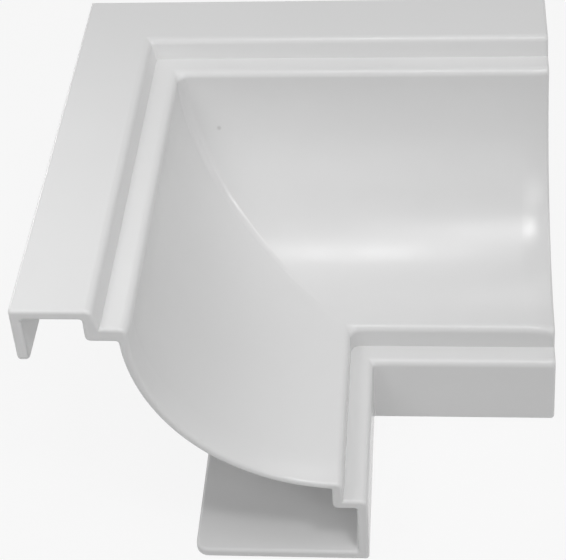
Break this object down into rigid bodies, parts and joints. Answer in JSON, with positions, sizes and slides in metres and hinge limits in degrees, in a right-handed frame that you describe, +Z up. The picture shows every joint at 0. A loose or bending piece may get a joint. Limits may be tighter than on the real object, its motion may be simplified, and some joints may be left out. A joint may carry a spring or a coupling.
{
  "type": "internal corner trim",
  "caption": "Mitred right-angle corner of a hollow cove moulding, with a wall skirt, stepped edges and a turned-back foot, joining trim lengths at an inside wall corner.",
  "frame": {"origin": "middle of the object's box, on the plane of the foot's underside", "axes": "+Z up from the foot to the top flange; the wall corner is at -X, +Y; one arm runs from it along +X and the other along -Y"},
  "size_m": [0.101, 0.101, 0.0654],
  "materials": {
    "white_plastic": "satin moulded white plastic"
  },
  "bodies": {
    "root": {"corner_trim": "white_plastic"}
  },
  "joints": []
}
